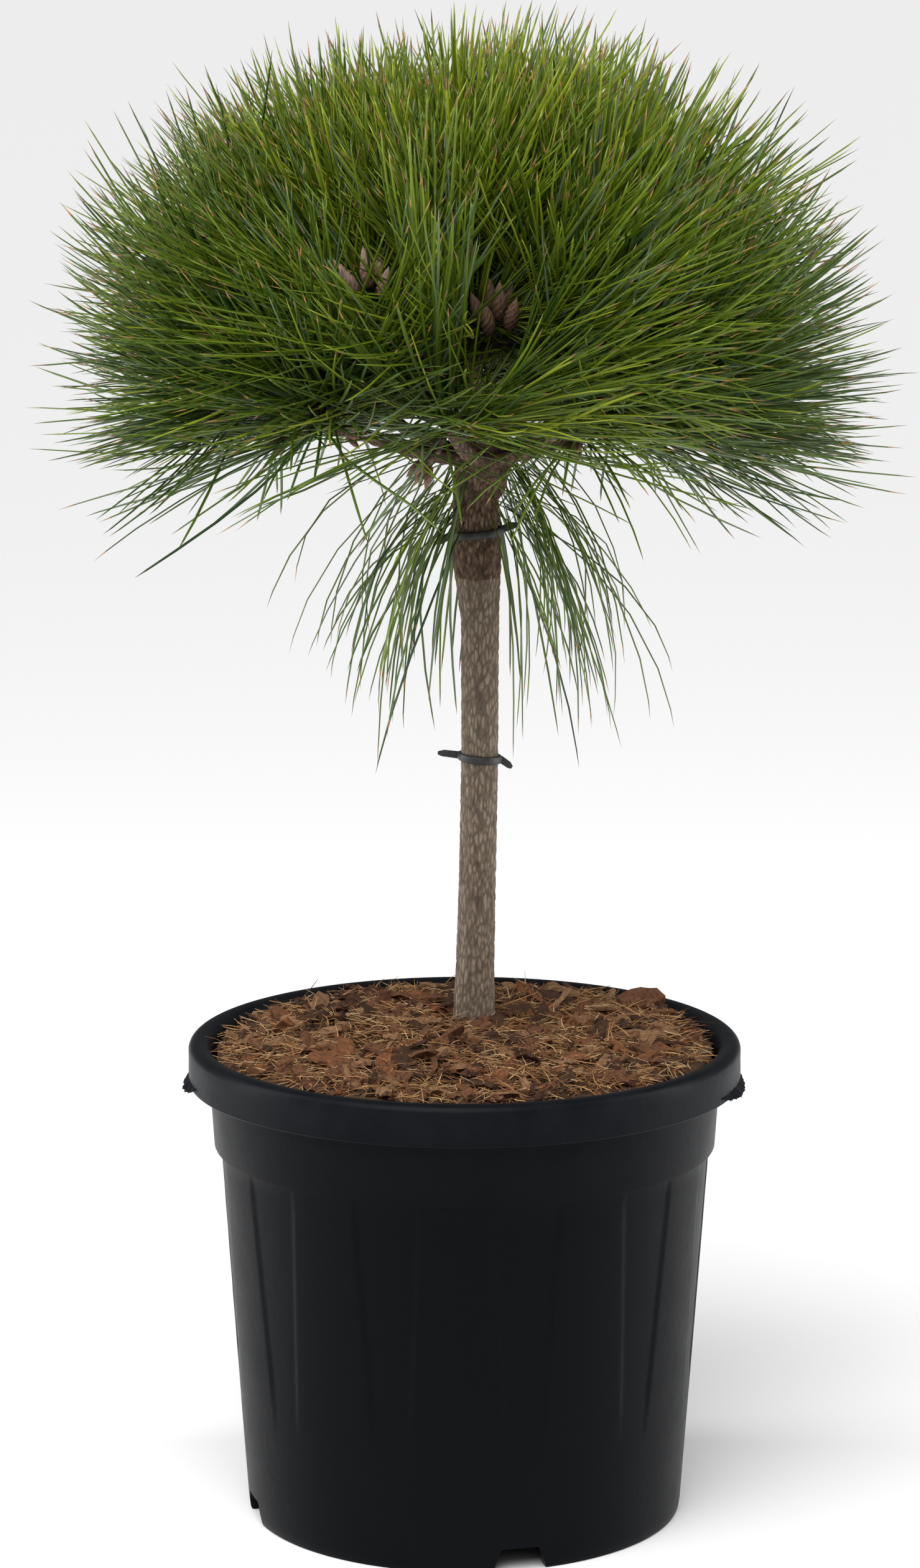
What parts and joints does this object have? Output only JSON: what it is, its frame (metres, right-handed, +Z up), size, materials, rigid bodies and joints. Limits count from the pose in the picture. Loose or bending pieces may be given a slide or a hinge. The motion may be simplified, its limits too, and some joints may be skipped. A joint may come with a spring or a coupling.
{
  "type": "potted austrian pine",
  "caption": "Small grafted austrian pine with a short bare trunk and a round head of long needles, standing in a round nursery container with bark mulch.",
  "frame": {"origin": "on the ground under the middle of the container and of the crown, at the bottom centre of the whole plant", "axes": "+Z up along the trunk, -Y towards the viewer of the picture, +X to the viewer's right"},
  "size_m": [0.477, 0.477, 0.818],
  "materials": {
    "container": "satin black moulded plastic",
    "growing_medium": "moist dark growing medium",
    "mulch": "reddish brown bark and coir chips with loose fibres",
    "trunk_bark": "grey-brown fissured bark",
    "bough_bark": "brown scaly bark",
    "needles_low": "deep green needles",
    "needles_high": "bright yellow-green needles",
    "tie": "black rubber strap"
  },
  "bodies": {
    "root": {"hanging_mass_1": "needles_low", "hanging_mass_2": "needles_low", "hanging_mass_3": "needles_low", "hanging_mass_4": "needles_low", "hanging_mass_5": "needles_low", "leader": "bough_bark", "lower_bough_1": "bough_bark", "lower_bough_2": "bough_bark", "lower_bough_3": "bough_bark", "lower_bough_4": "bough_bark", "lower_bough_5": "bough_bark", "lower_bough_6": "bough_bark", "lower_bough_7": "bough_bark", "lower_bough_8": "bough_bark", "lower_mass_1": "needles_low", "lower_mass_2": "needles_low", "lower_mass_3": "needles_low", "lower_mass_4": "needles_low", "lower_mass_5": "needles_low", "lower_mass_6": "needles_low", "lower_mass_7": "needles_low", "lower_mass_8": "needles_low", "lower_tie": "tie", "mulch": "mulch", "pot": "container", "root_ball": "growing_medium", "top_mass": "needles_high", "trunk": "trunk_bark", "upper_bough_1": "bough_bark", "upper_bough_2": "bough_bark", "upper_bough_3": "bough_bark", "upper_bough_4": "bough_bark", "upper_bough_5": "bough_bark", "upper_bough_6": "bough_bark", "upper_mass_1": "needles_high", "upper_mass_2": "needles_high", "upper_mass_3": "needles_high", "upper_mass_4": "needles_high", "upper_mass_5": "needles_high", "upper_mass_6": "needles_high", "upper_tie": "tie"}
  },
  "joints": []
}
